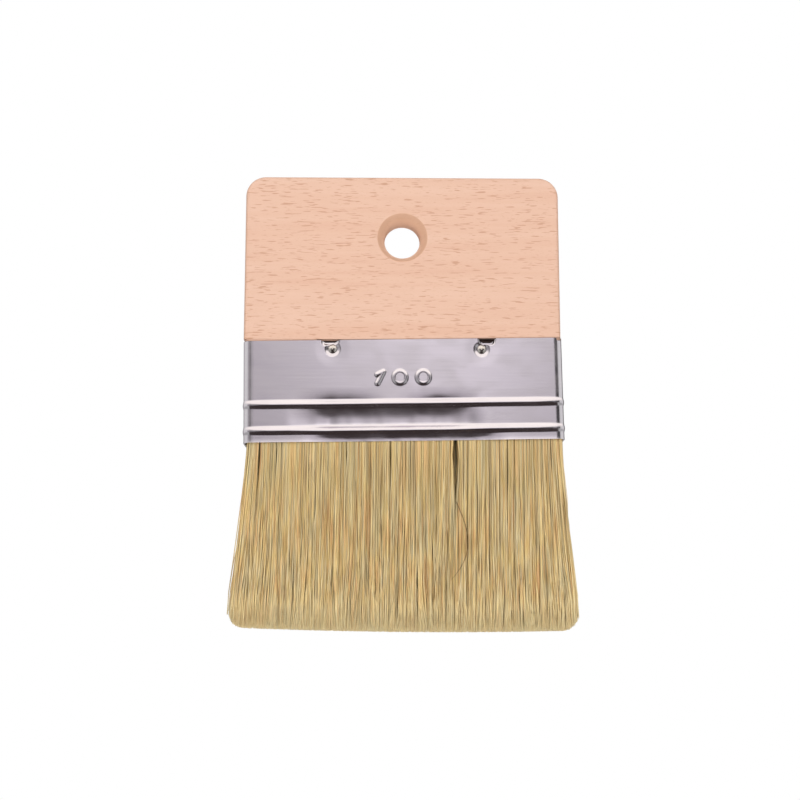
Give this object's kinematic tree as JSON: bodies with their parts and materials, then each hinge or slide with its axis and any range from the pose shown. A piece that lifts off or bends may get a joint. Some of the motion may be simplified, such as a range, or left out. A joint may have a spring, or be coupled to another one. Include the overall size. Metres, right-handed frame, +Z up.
{
  "type": "paste brush",
  "caption": "Wide flat brush with a plate handle and hanging hole, a beaded tinned-steel ferrule and fanned natural bristles, for paste, glue or primer.",
  "frame": {"origin": "centre of the hanging hole, in the middle of the handle board's thickness", "axes": "+Z up the handle, away from the bristles; X across the brush's width; -Y is the front, which carries the embossed width; +Y points at the wall that the brush hangs on"},
  "size_m": [0.1072, 0.0153, 0.1441],
  "materials": {
    "beech": "satin",
    "tinned_steel": "gloss",
    "nail_steel": "gloss",
    "resin": "gloss",
    "strip_wood": "matte",
    "bristle": "satin"
  },
  "bodies": {
    "root": {"handle_board": "beech", "ferrule": "tinned_steel", "ferrule_nails_front": "nail_steel", "ferrule_nails_back": "nail_steel", "setting_resin": "resin", "spacer_strip_front": "strip_wood", "spacer_strip_back": "strip_wood", "bristle_butts_front": "bristle", "bristle_butts_middle": "bristle", "bristle_butts_back": "bristle"},
    "bristle_head": {"bristles_front": "bristle", "bristles_middle": "bristle", "bristles_back": "bristle"}
  },
  "joints": [
    {"name": "bristle_flex", "type": "hinge", "parent": "root", "child": "bristle_head", "pos_m": [0, 0, -0.0717], "axis": [1, 0, 0], "range_deg": [-30, 30], "stiffness_Nm_per_rad": 0.2}
  ]
}
